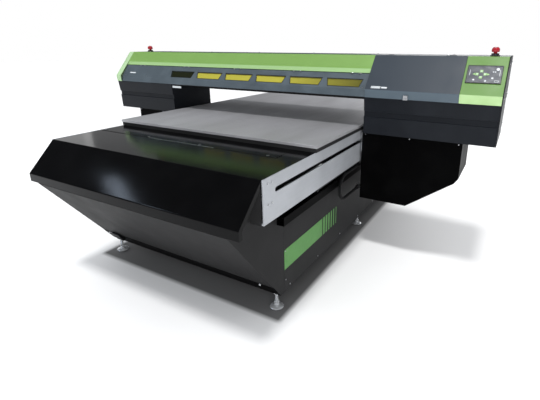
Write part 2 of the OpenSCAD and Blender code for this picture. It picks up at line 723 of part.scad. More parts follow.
// ---- Covers that open ----
module front_cover() color(cover_grey) difference() {
    union() {
        sweep_x(folded([cover_top, cover_chin, cover_foot], sheet), [trim_x + 1, hood_x0 - 1]);
        for (x = cover_hinge_xs)
            barrel(x, cover_top[0], cover_top[1]);
    }
    for (x = cover_hinge_xs)
        knuckle_room(x, cover_top[0], cover_top[1]);
    for (i = [0:window_n - 1])
        on_cover(window_x0 + i * window_pitch, 0) translate([0, 0, -10]) linear_extrude(20)
            polygon([[0, -window_s[0]], [window_w, -window_s[0]], [window_w - window_slant, -window_s[1]],
                [window_slant, -window_s[1]]]);
}

module window_screen() color(amber) on_cover(window_x0 - 20, 0) translate([0, -window_s[1] - 6, -sheet - 3])
    cube([window_pitch * window_n, window_s[1] - window_s[0] + 12, 3]);

module right_hood() color(cover_grey) difference() {
    union() {
        sweep_x(folded(eased(cover_path, 6), sheet), [hood_x0, hood_x1]);
        for (x = hood_hinge_xs)
            barrel(x, hinge_y, top_z);
    }
    for (x = hood_hinge_xs)
        knuckle_room(x, hinge_y, top_z);
}

// Turning catch on the hood's lower facet
module hood_latch() color(steel) {
    rod_y(9, latch_x, [-290, -277.5], 1262);
    block([latch_x - 15, latch_x + 15], [-291, -284], [1240, 1271]);
}

// ---- Carriage ----
carriage_outline = [[12, 1190], [12, 1400], [-140, 1400], [-225, 1290], [-225, 1190]];
carriage_inside = [[0, 1189], [0, 1386], [-133, 1386], [-211, 1284], [-211, 1189]];

module carriage() color(cabinet_grey) translate([park_x, 0, 0]) {
    difference() {
        sweep_x(carriage_outline, [-170, 170]);
        sweep_x(carriage_inside, [-156, 156]);
    }
    block([-170, 170], [11, 24], [1190, 1400]);
    for (x = [-115, 115], z = rail_zs) difference() {
        block([x - 40, x + 40], [24, 56], [z - 22, z + 22]);
        block([x - 41, x + 41], [beam_gy[0] - 14.5, 57], [z - 10.5, z + 10.5]);
    }
}

// Block that holds the heads, with the two columns that it is lowered on
module head_block() color(alloy) translate([park_x, 0, 0]) {
    block([-head_block_hw, head_block_hw], [-195, -20], [head_z + 28, 1262]);
    for (x = [-90, 90])
        rod_z(9, x, -80, [1262, 1382]);
}

module print_heads() color(steel) translate([park_x, 0, 0]) for (i = [0:head_count - 1])
    translate([(i - (head_count - 1) / 2) * 34 - 10, -170, head_z]) cube([20, 120, 28]);

module uv_lamps() color(cabinet_grey) translate([park_x, 0, 0]) for (s = [-1, 1])
    translate([s * (head_block_hw + lamp_w / 2) - lamp_w / 2, -180, head_z + 8]) cube([lamp_w, 140, 80]);

base_frame();
front_hood();
hood_top();
underpanel();
cheeks();
side_panels();
rear_panel();
side_stripes();
rail_beams();
rail_beam_bolts();
linear_rails();
table_plate();
vacuum_plenum();
vacuum_blowers();
levelling_feet();
chain_tray();
cable_chain();
drive_motors();
drive_screw_right();
drive_screw_left();
legs();
leg_necks();
saddle_plates();
guide_blocks();
screw_nuts();
leg_brackets();
conduit_loop();
gantry_beam();
x_rails();
x_belt();
x_motor();
belt_pulley_left();
belt_pulley_right();
top_cover();
cover_hinges();
rear_cover();
left_end_trim();
right_end_cap();
panel_housing();
control_panel();
key_up();
key_down();
key_left();
key_right();
key_power();
cabinet_left();
cabinet_right();
estop_bases();
estop_left();
estop_right();
cap_tray();
ink_cartridges();
front_cover();
window_screen();
right_hood();
hood_latch();
carriage();
head_block();
print_heads();
uv_lamps();
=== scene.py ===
import json
import math

import bmesh
import bpy
from mathutils import Matrix, Vector


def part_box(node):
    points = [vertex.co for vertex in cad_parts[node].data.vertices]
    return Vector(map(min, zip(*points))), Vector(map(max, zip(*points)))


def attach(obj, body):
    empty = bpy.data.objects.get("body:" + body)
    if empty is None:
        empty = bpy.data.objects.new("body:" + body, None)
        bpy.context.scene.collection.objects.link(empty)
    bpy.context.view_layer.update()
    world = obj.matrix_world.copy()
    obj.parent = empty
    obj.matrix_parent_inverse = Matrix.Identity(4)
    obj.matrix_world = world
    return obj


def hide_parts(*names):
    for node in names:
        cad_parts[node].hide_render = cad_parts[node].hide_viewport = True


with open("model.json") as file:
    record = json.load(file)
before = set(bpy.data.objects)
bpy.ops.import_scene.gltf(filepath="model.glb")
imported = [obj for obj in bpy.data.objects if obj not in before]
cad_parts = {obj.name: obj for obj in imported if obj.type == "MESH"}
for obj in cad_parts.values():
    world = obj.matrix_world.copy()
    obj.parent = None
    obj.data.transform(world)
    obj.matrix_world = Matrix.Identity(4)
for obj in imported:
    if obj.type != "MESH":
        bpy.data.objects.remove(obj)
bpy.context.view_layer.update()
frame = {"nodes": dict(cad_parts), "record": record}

# Shapes are drawn in millimetres, in the frame of the CAD; the camera, lights and finishes are in metres
MM = 0.001
SLOT_OF = {s["node"]: s["material_slot"] for s in frame["record"]["subparts"]}
BASE_X = -32                # middle of the base, to the left of the machine's middle
BASE_HALF = 800             # from there to the outer face of either side panel

# ---------------------------------------------------------------- camera
# Recovered from the photo's vanishing directions and the bed's width
camera = bpy.data.cameras.new("camera")
camera.sensor_width = 36
camera.lens = 25.65
camera.shift_x = -0.0634
camera.shift_y = -0.0561
camera.clip_end = 200
view = bpy.data.objects.new("camera", camera)
bpy.context.scene.collection.objects.link(view)
view.location = (1.8765, -2.914, 1.600)
view.rotation_euler = (math.radians(71.96), 0, math.radians(28.93))
bpy.context.scene.camera = view
bpy.context.scene.view_settings.view_transform = "Standard"


# ---------------------------------------------------------------- materials
class Finish:
    """A procedural material: a Principled shader fed by noise over the object's own coordinates."""

    def __init__(self, name):
        self.material = bpy.data.materials.new(name)
        self.material.use_nodes = True
        self.tree = self.material.node_tree
        self.tree.nodes.clear()
        self.shader = self.node("ShaderNodeBsdfPrincipled")
        self.link(self.shader.outputs[0], self.node("ShaderNodeOutputMaterial").inputs[0])
        self.place = self.node("ShaderNodeTexCoord").outputs["Object"]
        self.tone = None

    def node(self, kind, **settings):
        made = self.tree.nodes.new(kind)
        for key, value in settings.items():
            setattr(made, key, value)
        return made

    def link(self, a, b):
        self.tree.links.new(a, b)

    def along(self, axis):
        """Distance along one axis, in metres."""
        split = self.node("ShaderNodeSeparateXYZ")
        self.link(self.place, split.inputs[0])
        return split.outputs[axis]

    def noise(self, scale, detail, stretch=None):
        """Cloudy noise; stretch scales its coordinates along each axis."""
        noise = self.node("ShaderNodeTexNoise")
        noise.inputs["Scale"].default_value = scale
        noise.inputs["Detail"].default_value = detail
        place = self.place
        if stretch:
            mapping = self.node("ShaderNodeMapping")
            mapping.inputs["Scale"].default_value = stretch
            self.link(place, mapping.inputs["Vector"])
            place = mapping.outputs[0]
        self.link(place, noise.inputs["Vector"])
        return noise.outputs["Fac"]

    def bands(self, scale, direction):
        waves = self.node("ShaderNodeTexWave", bands_direction=direction)
        waves.inputs["Scale"].default_value = scale
        self.link(self.place, waves.inputs["Vector"])
        return waves.outputs["Fac"]

    def ranged(self, value, low, high, start=0.3, end=0.7):
        """A number that runs from low to high as value runs from start to end."""
        ranged = self.node("ShaderNodeMapRange")
        for key, limit in (("From Min", start), ("From Max", end), ("To Min", low), ("To Max", high)):
            ranged.inputs[key].default_value = limit
        self.link(value, ranged.inputs["Value"])
        return ranged.outputs[0]

    def product(self, a, b):
        both = self.node("ShaderNodeMath", operation="MULTIPLY")
        self.link(a, both.inputs[0])
        self.link(b, both.inputs[1])
        return both.outputs[0]

    def mixed(self, share, a, b):
        """Runs from a to b as share runs from 0 to 1. Each is a colour or a node's output."""
        mix = self.node("ShaderNodeMix", data_type="RGBA")
        self.link(share, mix.inputs["Factor"])
        for key, tone in (("A", a), ("B", b)):
            if isinstance(tone, tuple):
                mix.inputs[key].default_value = (*tone, 1)
            else:
                self.link(tone, mix.inputs[key])
        return mix.outputs["Result"]

    def ramp(self, value, low, high, start=0.3, end=0.7):
        """A colour that runs from low to high as value runs from start to end."""
        return self.mixed(self.ranged(value, 0, 1, start, end), low, high)

    def base(self, tone):
        """Makes tone, a node's output, the base colour."""
        self.tone = tone
        self.link(tone, self.shader.inputs["Base Color"])

    def colour(self, value, low, high, start=0.3, end=0.7):
        self.base(self.ramp(value, low, high, start, end))

    def edge_wear_and_highlight(self, cloud, edge_tone):
        """Shows a lighter tone on sharp edges, broken up by noise: partly rubbed wear, partly a painted
        highlight along the edges.
        """
        edges = self.node("ShaderNodeNewGeometry").outputs["Pointiness"]
        bright_part = self.product(self.ranged(edges, 0, 0.5, 0.52, 0.60), self.ranged(cloud, 0, 1, 0.45, 0.65))
        self.base(self.mixed(bright_part, self.tone, edge_tone))

    def roughness(self, value, low, high):
        self.link(self.ranged(value, low, high), self.shader.inputs["Roughness"])

    def bump(self, value, strength, distance):
        bump = self.node("ShaderNodeBump")
        bump.inputs["Strength"].default_value = strength
        bump.inputs["Distance"].default_value = distance
        self.link(value, bump.inputs["Height"])
        self.link(bump.outputs[0], self.shader.inputs["Normal"])

    def set(self, **values):
        for key, value in values.items():
            self.shader.inputs[key.replace("_", " ")].default_value = value


def shade(colour, factor):
    return tuple(c * factor for c in colour)


def coated(f, tone, rough, sheen, spread=0.05, peel=0.25):
    """Completes a paint whose colour is set: orange peel, patches of handling, and edges lightened by rubbed
    wear and a painted highlight.
    """
    cloud = f.noise(6, 5)
    f.edge_wear_and_highlight(cloud, tuple(c * 1.4 + 0.004 for c in tone))
    f.roughness(cloud, rough - spread, rough + spread)
    f.bump(f.noise(420, 2), peel, 0.0004)
    f.set(Specular_IOR_Level=sheen)
    return f.material


def painted(name, colour, rough, sheen=0.3, **values):
    """Powder coat or paint in one cloudy tone."""
    f = Finish(name)
    f.colour(f.noise(2.2, 4), shade(colour, 0.9), shade(colour, 1.1))
    return coated(f, colour, rough, sheen, **values)


def facet_light_and_shade(name, low, high, split, rough, sheen=0.3):
    """Paint with one tone below the height split and another above it: painted light and shade on a cover's
    facets.
    """
    f = Finish(name)
    f.colour(f.along("Z"), low, high, split - 0.002, split + 0.002)
    return coated(f, high, rough, sheen)


def metal(name, colour, rough, grain=None, bump=0.2, metallic=1.0):
    """Bare metal: brushed along one axis where grain is given, otherwise fine and even."""
    f = Finish(name)
    fine = f.noise(90, 3, grain) if grain else f.noise(260, 3)
    f.colour(f.noise(5, 4), shade(colour, 0.9), shade(colour, 1.07))
    f.roughness(fine, rough - 0.06, rough + 0.08)
    f.bump(fine, bump, 0.0003)
    f.set(Metallic=metallic)
    return f.material


def plastic(name, colour, rough, sheen=0.3, coat=0):
    """Moulded plastic or rubber, with a fine texture."""
    f = Finish(name)
    f.colour(f.noise(8, 3), shade(colour, 0.92), shade(colour, 1.08))
    f.roughness(f.noise(30, 3), rough - 0.05, rough + 0.06)
    f.bump(f.noise(350, 2), 0.3, 0.0003)
    f.set(Specular_IOR_Level=sheen, Coat_Weight=coat)
    return f.material


def blasted_bed():
    """Bead-blasted and anodised alloy, with faint rubbed tracks where boards are pushed on."""
    f = Finish("blasted_bed")
    f.colour(f.noise(3, 5, (1, 0.25, 1)), (0.33, 0.33, 0.34), (0.42, 0.42, 0.44))
    f.roughness(f.noise(14, 4, (1, 0.2, 1)), 0.38, 0.52)
    f.bump(f.noise(700, 2), 0.25, 0.0003)
    f.set(Metallic=0.35)
    return f.material


def amber_screen():
    """Amber acrylic that filters the curing light, with painted shade: darker at its top edge and at both
    unlit ends.
    """
    f = Finish("amber_acrylic")
    height = f.node("ShaderNodeMath", operation="MULTIPLY_ADD")
    height.inputs[1].default_value = 0.010
    f.link(f.noise(9, 3), height.inputs[0])
    f.link(f.along("Z"), height.inputs[2])
    # painted shade: darker above a wavy line near the top edge
    lit = f.ramp(height.outputs[0], (0.36, 0.33, 0.045), (0.10, 0.085, 0.012), 1.350, 1.356)
    # painted shade towards both ends, near black at the left end
    left_end_shade = f.ranged(f.along("X"), 1, 0, -0.765, -0.745)
    right_end_shade = f.ranged(f.along("X"), 0, 1, 0.15, 0.85)
    f.base(f.mixed(right_end_shade, f.mixed(left_end_shade, lit, (0.010, 0.012, 0.004)), (0.10, 0.093, 0.018)))
    f.roughness(f.noise(12, 3), 0.10, 0.18)
    f.set(Specular_IOR_Level=0.4)
    return f.material


def threaded_steel():
    """Ground steel of the drive screws, with the thread as fine rings."""
    f = Finish("threaded_steel")
    f.colour(f.noise(40, 3), (0.42, 0.43, 0.45), (0.52, 0.53, 0.55))
    f.roughness(f.noise(80, 3), 0.2, 0.32)
    f.bump(f.bands(60, "Y"), 0.9, 0.002)
    f.set(Metallic=1.0)
    return f.material


FINISHES = {
    "black_gloss": painted("gloss_black", (0.002, 0.002, 0.0022), 0.12, 0.09, spread=0.012, peel=0.10),
    "black_satin": painted("satin_black", (0.019, 0.019, 0.0195), 0.50, 0.05),
    "leg_black": painted("leg_black", (0.0010, 0.0010, 0.0011), 0.42, 0.02, spread=0.04),
    "alloy": metal("brushed_alloy", (0.36, 0.375, 0.40), 0.46, grain=(1, 0.03, 1), metallic=0.25),
    "steel": metal("machined_steel", (0.50, 0.51, 0.53), 0.28),
    "chrome": metal("plated_steel", (0.74, 0.76, 0.78), 0.18, bump=0.08, metallic=0.7),
    "bed": blasted_bed(),
    "green": painted("green_paint", (0.165, 0.312, 0.073), 0.40),
    "green_pale": plastic("pale_green_moulding", (0.36, 0.52, 0.29), 0.42),
    "cover_grey": painted("cover_grey", (0.060, 0.078, 0.092), 0.42),
    "cabinet_grey": painted("cabinet_grey", (0.0065, 0.0080, 0.0110), 0.42, 0.15),
    "amber": amber_screen(),
    "stripe": plastic("green_vinyl", (0.075, 0.215, 0.055), 0.45, 0.25),
    "rubber": plastic("black_rubber", (0.004, 0.004, 0.0045), 0.5, 0.25),
    "dark_plastic": plastic("black_nylon", (0.016, 0.016, 0.018), 0.5, 0.5),
    "panel": plastic("dark_membrane", (0.030, 0.036, 0.050), 0.35),
    "key_green": plastic("pale_green_key", (0.30, 0.50, 0.20), 0.45),
    "key_white": plastic("white_moulding", (0.55, 0.58, 0.60), 0.42),
    "red": plastic("red_moulding", (0.36, 0.012, 0.022), 0.30, 0.5, coat=0.2),
    "lamp": plastic("lamp_housing", (0.05, 0.045, 0.07), 0.3, 0.5),
}
# Heights, in metres, at which the covers fold
CHIN_Z, TOP_FOLD_Z = 1.298, 1.432
# Finishes of single CAD nodes that differ from their slot's; on the covers these are painted light and shade:
# a paler tone below the fold for light on the lower facets, a darker one above for shade
OWN_FINISH = {
    "drive_screw_right": threaded_steel(),
    "right_hood": facet_light_and_shade("hood_grey", (0.075, 0.101, 0.123), (0.024, 0.034, 0.047), CHIN_Z, 0.42),
    "top_cover": facet_light_and_shade("top_green", (0.272, 0.43, 0.19), (0.160, 0.295, 0.074), TOP_FOLD_Z, 0.40),
    "panel_housing": facet_light_and_shade("housing_green", (0.375, 0.54, 0.26), (0.098, 0.215, 0.038), CHIN_Z, 0.42),
}
OWN_FINISH["drive_screw_left"] = OWN_FINISH["drive_screw_right"]


# ---------------------------------------------------------------- shapes
def lay(axis, u, v, w):
    """The point that lies at (u, v) across an axis and w along it."""
    return {"x": (w, u, v), "y": (u, w, v), "z": (u, v, w)}[axis]


def circle(sides, start=0.0):
    """Corners of a regular polygon on the unit circle, the first at the angle start."""
    angles = [start + k * math.tau / sides for k in range(sides)]
    return [(math.cos(a), math.sin(a)) for a in angles]


def smoothed(points, step):
    """Points about step apart on a smooth curve through the given ones."""
    points = [Vector(p) for p in points]
    ends = [2 * points[0] - points[1]] + points + [2 * points[-1] - points[-2]]
    curve = []
    for a, b, c, d in zip(ends, ends[1:], ends[2:], ends[3:]):
        count = max(1, round((c - b).length / step))
        for k in range(count):
            t = k / count
            curve.append(0.5 * (2 * b + (c - a) * t + (2 * a - 5 * b + 4 * c - d) * t ** 2
                                + (3 * b - a - 3 * c + d) * t ** 3))
    return curve + [points[-1]]


class Shape:
    """A mesh in the making, of closed forms that the matrix in at puts in place."""

    def __init__(self, at=Matrix.Identity(4)):
        self.mesh = bmesh.new()
        self.at = at

    def skin(self, rings, closed=False):
        """Joins rings of points in their order, then caps both ends or closes the row on itself."""
        rows = [[self.mesh.verts.new(self.at @ Vector(p)) for p in ring] for ring in rings]
        steps = list(zip(rows, rows[1:]))
        if closed:
            steps.append((rows[-1], rows[0]))
        else:
            self.mesh.faces.new(rows[0])
            self.mesh.faces.new(rows[-1])
        for a, b in steps:
            self.wall(a, b)
        return self

    def wall(self, a, b):
        """Faces between two closed rows of vertices."""
        for i in range(len(a)):
            j = (i + 1) % len(a)
            self.mesh.faces.new((a[i], a[j], b[j], b[i]))

    def prism(self, outline, axis, span):
        """An outline across an axis, drawn out over a span of that axis."""
        return self.skin([[lay(axis, u, v, w) for u, v in outline] for w in span])

    def block(self, x, y, z):
        """A box that fills three spans."""
        return self.prism([(x[0], y[0]), (x[1], y[0]), (x[1], y[1]), (x[0], y[1])], "z", z)

    def border(self, outer, inner, span):
        """A frame across z, between two outlines that have the same number of points."""
        rings = [[(u, v, w) for u, v in outline]
                 for outline, w in ((outer, span[0]), (outer, span[1]), (inner, span[1]), (inner, span[0]))]
        return self.skin(rings, closed=True)

    def turned(self, profile, place, axis="z", sides=24, ring=False):
        """A turned form: its profile is given as (radius, distance along the axis from place)."""
        rings = [[Vector(place) + Vector(lay(axis, r * c, r * s, h)) for c, s in circle(sides)]
                 for r, h in profile]
        return self.skin(rings, closed=ring)

    def swept(self, path, radii, sides=8):
        """A tube along path, with one radius or a list of them."""
        path = [Vector(p) for p in path]
        radii = radii if isinstance(radii, list) else [radii] * len(path)
        across = (path[1] - path[0]).orthogonal().normalized()
        rings = []
        for i, (point, radius) in enumerate(zip(path, radii)):
            heading = (path[min(i + 1, len(path) - 1)] - path[max(i - 1, 0)]).normalized()
            across = (across - heading * across.dot(heading)).normalized()
            up = heading.cross(across)
            rings.append([point + (across * c + up * s) * radius for c, s in circle(sides)])
        return self.skin(rings)

    def screw(self, place, axis, radius, out=1):
        """The head of a socket screw that stands on a face, out being the side it faces."""
        profile = [(1, 0), (1, 0.6), (0.86, 0.8), (0.52, 0.8), (0.46, 0.3)]
        return self.turned([(radius * r, out * radius * h) for r, h in profile], place, axis, 12)


def piece(name, shape, slot, body, replaces=(), edge=0.5):
    """Makes a finished piece from a shape: in metres, with its material, its body and soft edges.

    The edges' width is in millimetres, and replaces names the CAD nodes that the piece stands for.
    """
    bmesh.ops.recalc_face_normals(shape.mesh, faces=shape.mesh.faces)
    shape.mesh.transform(Matrix.Scale(MM, 4))
    data = bpy.data.meshes.new(name)
    shape.mesh.to_mesh(data)
    shape.mesh.free()
    data.materials.append(FINISHES[slot])
    data.shade_smooth()
    data.set_sharp_from_angle(angle=math.radians(35))
    made = bpy.data.objects.new(name, data)
    bpy.context.scene.collection.objects.link(made)
    if edge:
        soften(made, edge)
    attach(made, body)
    if replaces:
        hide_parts(*replaces)
    return made


def soften(target, width):
    """Rounds the sharp edges of an object in the render, without a change to its mesh."""
    bevel = target.modifiers.new("edges", "BEVEL")
    bevel.width = width * MM
    bevel.segments = 2
    bevel.limit_method = "ANGLE"
    bevel.angle_limit = math.radians(40)
    bevel.harden_normals = True


def extent(node, axis):
    """Lowest and highest coordinate of a CAD node along one axis."""
    lo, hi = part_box(node)
    return lo["xyz".index(axis)] / MM, hi["xyz".index(axis)] / MM


# ---------------------------------------------------------------- conduit
CONDUIT_X = 868 + BASE_X
CONDUIT_D = 24
# (y, z) points from the leg's bracket, round the loop and back to the lower bracket
CONDUIT_ROUTE = [(-110, 688), (-170, 688), (-230, 688), (-290, 688), (-350, 688), (-400, 688), (-437, 681),
                 (-468, 660), (-489, 629), (-496, 592), (-489, 555), (-468, 524), (-437, 503), (-400, 496),
                 (-350, 496), (-290, 496), (-230, 496), (-180, 496), (-130, 496)]


def conduit():
    """Corrugated conduit, held at both ends: its ribs are rings along the route."""
    route = smoothed([(CONDUIT_X, y, z) for y, z in CONDUIT_ROUTE], 2)
    rib, valley = CONDUIT_D / 2, CONDUIT_D / 2 - 1.6
    radii = [(rib, rib, valley, valley)[i % 4] for i in range(len(route))]
    radii[0] = radii[-1] = valley
    tube = piece("conduit", Shape().swept(route, radii, 16), "rubber", "gantry", ["conduit_loop"], edge=0)


def conduit_glands():
    """Gland nuts where the conduit enters the two brackets."""
    nut = [(12.2, -22), (15, -22), (16.5, -18), (16.5, -6), (18, -6), (18, 0), (12.2, 0)]
    shape = Shape()
    for y, z in (CONDUIT_ROUTE[0], CONDUIT_ROUTE[-1]):
        shape.turned(nut, (CONDUIT_X, y, z), "y", ring=True)
    piece("conduit_glands", shape, "dark_plastic", "gantry")


conduit()
conduit_glands()


# ---------------------------------------------------------------- lights and studio
def lamp(name, kind, power):
    """A light of the given kind in the scene."""
    data = bpy.data.lights.new(name, kind)
    data.energy = power
    light = bpy.data.objects.new(name, data)
    bpy.context.scene.collection.objects.link(light)
    return light


def overhead():
    """A broad soft light from above and a little in front."""
    light = lamp("overhead", "SUN", 1.7)
    light.data.angle = math.radians(9)
    light.rotation_euler = (math.radians(14.5), math.radians(1), 0)


def softbox(name, place, target, size, power, colour=(1, 1, 1), shows=True):
    """A softbox; where shows is false it lights the scene but is not seen in reflections."""
    light = lamp(name, "AREA", power)
    light.data.shape = "RECTANGLE"
    light.data.size, light.data.size_y = size
    light.data.color = colour
    light.location = place
    light.visible_glossy = shows
    aim = Vector(target) - Vector(place)
    light.rotation_euler = aim.to_track_quat("-Z", "Y").to_euler()


def studio():
    """White ground for the camera and for soft light, and a dark room for reflections."""
    world = bpy.data.worlds.new("studio")
    bpy.context.scene.world = world
    world.use_nodes = True
    sky = world.node_tree
    sky.nodes.clear()
    rays = sky.nodes.new("ShaderNodeLightPath")

    def background(colour, strength=1.0):
        made = sky.nodes.new("ShaderNodeBackground")
        made.inputs["Color"].default_value = (*colour, 1)
        made.inputs["Strength"].default_value = strength
        return made

    def seen_by(ray, shown, otherwise):
        """Shows one shader to one kind of ray, and the other to the rest."""
        mix = sky.nodes.new("ShaderNodeMixShader")
        sky.links.new(rays.outputs[ray], mix.inputs[0])
        sky.links.new(otherwise.outputs[0], mix.inputs[1])
        sky.links.new(shown.outputs[0], mix.inputs[2])
        return mix

    room = background((0, 0, 0))
    ramp = sky.nodes.new("ShaderNodeValToRGB")
    split = sky.nodes.new("ShaderNodeSeparateXYZ")
    sky.links.new(sky.nodes.new("ShaderNodeTexCoord").outputs["Generated"], split.inputs[0])
    sky.links.new(split.outputs["Z"], ramp.inputs[0])
    sky.links.new(ramp.outputs["Color"], room.inputs["Color"])
    stops = ramp.color_ramp.elements
    stops[0].position, stops[0].color = 0.0, (0.22, 0.23, 0.25, 1)
    stops[1].position, stops[1].color = 0.8, (0.10, 0.105, 0.115, 1)
    stops.new(0.18).color = (0.05, 0.053, 0.06, 1)

    soft = seen_by("Is Glossy Ray", room, background((0.97, 0.98, 1), 0.86))
    shown = seen_by("Is Camera Ray", background((1, 1, 1)), soft)
    sky.links.new(shown.outputs[0], sky.nodes.new("ShaderNodeOutputWorld").inputs[0])


overhead()
softbox("left_softbox", (-5.6, -4.2, 2.6), (-0.4, -1.4, 0.8), (2.4, 2.0), 50, (0.85, 0.92, 1), shows=False)
softbox("left_back_softbox", (-5.9, 0.3, 2.0), (0, -1.2, 1), (2.8, 2.2), 17)
softbox("left_back_edge", (-5.7, 2.4, 2.4), (0, -1.2, 1), (1.4, 2.2), 3)
softbox("slope_glint", (-2.97, -3.35, 2.9), (0, -1.66, 0.79), (1.3, 0.2), 10, (0.7, 0.82, 1))
softbox("front_softbox", (3.6, -4.8, 0.8), (1.4, -0.3, 1.2), (2.2, 1.2), 130, shows=False)
softbox("back_softbox", (1.0, 6.5, 3.4), (0, 0, 0.9), (5, 2), 90)
studio()


# ---------------------------------------------------------------- bed
def bed_plate():
    """Bed plate with its grid of vacuum holes, each a short eight-sided bore."""
    (x0, x1), (y0, y1), (z0, z1) = (extent("table_plate", axis) for axis in "xyz")
    across, along, hole, depth, chamfer = 34, 48, 2.6, 4, 1.5
    left, front = x0 + chamfer, y0 + chamfer
    dx = (x1 - x0 - 2 * chamfer) / across
    dy = (y1 - y0 - 2 * chamfer) / along
    shape = Shape()
    vertex, face = shape.mesh.verts.new, shape.mesh.faces.new
    grid = [[vertex((left + i * dx, front + j * dy, z1)) for j in range(along + 1)]
            for i in range(across + 1)]
    octagon = [(u * hole, v * hole) for u, v in circle(8, math.pi / 8)]
    for i in range(across):
        for j in range(along):
            middle = Vector((left + (i + 0.5) * dx, front + (j + 0.5) * dy, z1))
            rim = [vertex(middle + Vector((u, v, 0))) for u, v in octagon]
            floor = [vertex(middle + Vector((u, v, -depth))) for u, v in octagon]
            corners = [grid[i + 1][j + 1], grid[i][j + 1], grid[i][j], grid[i + 1][j]]
            for q, corner in enumerate(corners):
                a, b, c = rim[2 * q], rim[2 * q + 1], rim[(2 * q + 2) % 8]
                face((corner, b, a))
                face((corner, corners[(q + 1) % 4], c, b))
            shape.wall(rim, floor)
            face(floor)

    def outward(value, ends):
        """The coordinate, moved out by the chamfer where it is at either end of the grid."""
        return value + chamfer * ((value == ends[1]) - (value == ends[0]))

    edge = [grid[i][0] for i in range(across)] + [grid[across][j] for j in range(along)]
    edge += [grid[i][along] for i in range(across, 0, -1)] + [grid[0][j] for j in range(along, 0, -1)]
    x_ends, y_ends = (grid[0][0].co.x, grid[-1][0].co.x), (grid[0][0].co.y, grid[0][-1].co.y)
    rows = [edge] + [[vertex((outward(v.co.x, x_ends), outward(v.co.y, y_ends), z)) for v in edge]
                     for z in (z1 - chamfer, z0)]
    for a, b in zip(rows, rows[1:]):
        shape.wall(a, b)
    face(rows[-1])
    piece("bed_plate", shape, "bed", "base", ["table_plate"], edge=0)


def bed_screws():
    """Screws along both sides of the bed plate."""
    shape = Shape()
    for x in extent("table_plate", "x"):
        side = math.copysign(1, x)
        for y in range(-820, 1560, 340):
            shape.screw((x, y, 1010), "x", 4.5, side)
    piece("bed_side_screws", shape, "steel", "base", edge=0)


bed_plate()
bed_screws()


# ---------------------------------------------------------------- base
def levelling_feet():
    """Six plated feet: swivel pad on a rubber sole, threaded stud, jam nut and lock nut."""
    steel, soles = Shape(), Shape()
    pad = [(38, 4.6), (45, 4.6), (45, 8), (43.5, 10), (36, 14.5), (24, 18), (17, 20.5), (15, 24),
           (16.5, 27), (16, 31), (12.5, 34)]
    crest, groove, pitch = 10.6, 9.2, 2.5
    thread = [(groove if k % 2 else crest, 33 + k * pitch / 2) for k in range(54)]
    for x in (BASE_X - 750, BASE_X + 750):
        for y in (-1180, 200, 1560):
            place = (x, y, 0)
            soles.turned([(42, 0), (44, 1), (44, 4), (40, 5)], place, sides=40)
            steel.turned(pad, place, sides=40)
            steel.turned(thread, place, sides=20)
            for z, high in ((38, 11), (99.5, 15)):
                steel.turned([(17, z), (19, z + 1.5), (19, z + high - 1.5), (17, z + high)], place, sides=6)
    piece("feet_plated", steel, "chrome", "base", ["levelling_feet"], edge=0.4)
    piece("feet_soles", soles, "rubber", "base", edge=0)


def base_trim():
    """Screws of the base's sheets, fasteners of the access plate, and a black sheet behind the cable chain
    that paints the shade there.
    """
    heads, turns, shade_sheet = Shape(), Shape(), Shape()
    hood_z, rear = extent("front_hood", "z")[1], extent("rear_panel", "y")[1]
    for side in (-1, 1):
        wall = BASE_X + side * BASE_HALF
        spots = [(y, z) for y in range(-1100, 1660, 393) for z in (140, 700)]
        spots += [(y, z) for z in (200, 400, 600) for y in (-1150, 1640)]
        for y, z in spots:
            heads.screw((wall, y, z), "x", 5, side)
    for x in (BASE_X - 720, BASE_X - 240, BASE_X + 240, BASE_X + 720):
        for z in (150, 950):
            heads.screw((x, rear, z), "y", 5)
    quarter_turn = [(9, 0), (9, 1.6), (7.5, 2.4), (2, 2.4), (1.8, 1.0)]
    for x in (-840, -360, 120, 660):
        turns.turned(quarter_turn, (x + BASE_X, -1100, hood_z), sides=20)
    # painted shade: a thin black sheet on the side panel behind the cable chain
    shade_sheet.block((768.4, 769.6), (-1160, 1600), (671, 731))
    piece("base_screws", heads, "steel", "base", edge=0)
    piece("access_fasteners", turns, "steel", "base", edge=0)
    piece("chain_shade_sheet", shade_sheet, "leg_black", "base", edge=0)


def off_underpanel(up, out):
    """The point (y, z) that lies up the underpanel from its foot, and out from its face."""
    return -1205 - 0.604 * up - 0.797 * out, 115 + 0.797 * up - 0.604 * out


def underpanel_foot_shade():
    """Black channel along the underpanel's foot, a thin dark sheet that paints the shade there, with its
    bolts and a clip near its left end.
    """
    channel, clip, bolts = Shape(), Shape(), Shape()
    # the channel is painted shade: a dark sheet laid on the underpanel's face along its foot
    section = [off_underpanel(*spot) for spot in ((0, 0), (120, 0), (120, 2.5), (0, 2.5))]
    channel.prism(section, "x", (BASE_X - 797, BASE_X + 797))
    section = [off_underpanel(*spot) for spot in ((70, 2), (150, 2), (150, 16), (70, 22))]
    clip.prism(section, "x", (BASE_X - 665, BASE_X - 590))
    bolt_y = (off_underpanel(128, 7)[0], off_underpanel(112, 0)[0])
    for x in (BASE_X - 720, BASE_X - 690, BASE_X + 700):
        bolts.block((x - 7, x + 7), bolt_y, (204, 216))
    piece("underpanel_foot_shade", channel, "leg_black", "base", edge=0.4)
    piece("plinth_clip", clip, "rubber", "base", edge=1.5)
    piece("plinth_bolts", bolts, "steel", "base", edge=1.5)


